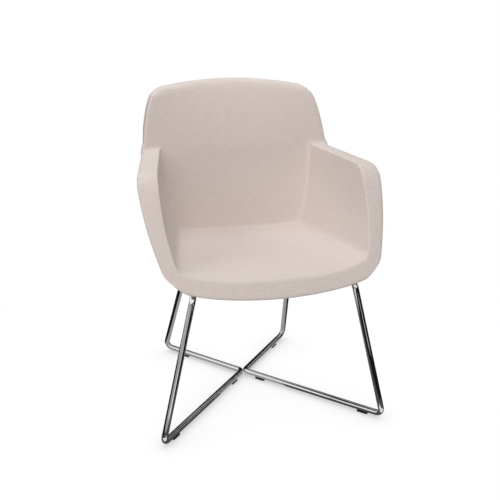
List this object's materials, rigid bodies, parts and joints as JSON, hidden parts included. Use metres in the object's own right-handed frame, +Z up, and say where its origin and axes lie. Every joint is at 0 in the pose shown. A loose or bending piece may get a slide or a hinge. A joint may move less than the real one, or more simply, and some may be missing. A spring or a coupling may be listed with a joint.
{
  "type": "lounge chair",
  "caption": "Upholstered tub chair with raked arms and a rounded back on a crossed base of bent chromed wire with black glides.",
  "frame": {"origin": "on the floor, under the middle of the chair's box", "axes": "+Z up, front of the chair towards -Y, +X to the right as seen from the front"},
  "size_m": [0.6296, 0.6048, 0.8531],
  "materials": {
    "chrome": "bright chromed round steel rod",
    "zinc_steel": "zinc plated",
    "frame_steel": "black lacquered steel rod",
    "black_plastic": "moulded, fine grain",
    "plywood": "raw birch plywood",
    "fabric": "fine plain weave, pale warm grey",
    "dust_cloth": "black non-woven cloth"
  },
  "bodies": {
    "root": {"arm_frame": "frame_steel", "back_frame": "frame_steel", "back_pad": "fabric", "front_cross_bar": "zinc_steel", "left_arm_pad": "fabric", "left_front_bolt": "zinc_steel", "left_front_clip": "zinc_steel", "left_front_clip_screw_1": "zinc_steel", "left_front_clip_screw_2": "zinc_steel", "left_front_inner_glide": "black_plastic", "left_front_outer_glide": "black_plastic", "left_front_tee_nut": "zinc_steel", "left_front_washer": "zinc_steel", "left_rear_bolt": "zinc_steel", "left_rear_clip": "zinc_steel", "left_rear_clip_screw_1": "zinc_steel", "left_rear_clip_screw_2": "zinc_steel", "left_rear_glide": "black_plastic", "left_rear_tee_nut": "zinc_steel", "left_rear_washer": "zinc_steel", "left_wire_loop": "chrome", "rear_cross_bar": "zinc_steel", "right_arm_pad": "fabric", "right_front_bolt": "zinc_steel", "right_front_clip": "zinc_steel", "right_front_clip_screw_1": "zinc_steel", "right_front_clip_screw_2": "zinc_steel", "right_front_inner_glide": "black_plastic", "right_front_outer_glide": "black_plastic", "right_front_tee_nut": "zinc_steel", "right_front_washer": "zinc_steel", "right_rear_bolt": "zinc_steel", "right_rear_clip": "zinc_steel", "right_rear_clip_screw_1": "zinc_steel", "right_rear_clip_screw_2": "zinc_steel", "right_rear_glide": "black_plastic", "right_rear_tee_nut": "zinc_steel", "right_rear_washer": "zinc_steel", "right_wire_loop": "chrome", "seat_board": "plywood", "seat_pad": "fabric", "underside_cloth": "dust_cloth"}
  },
  "joints": []
}
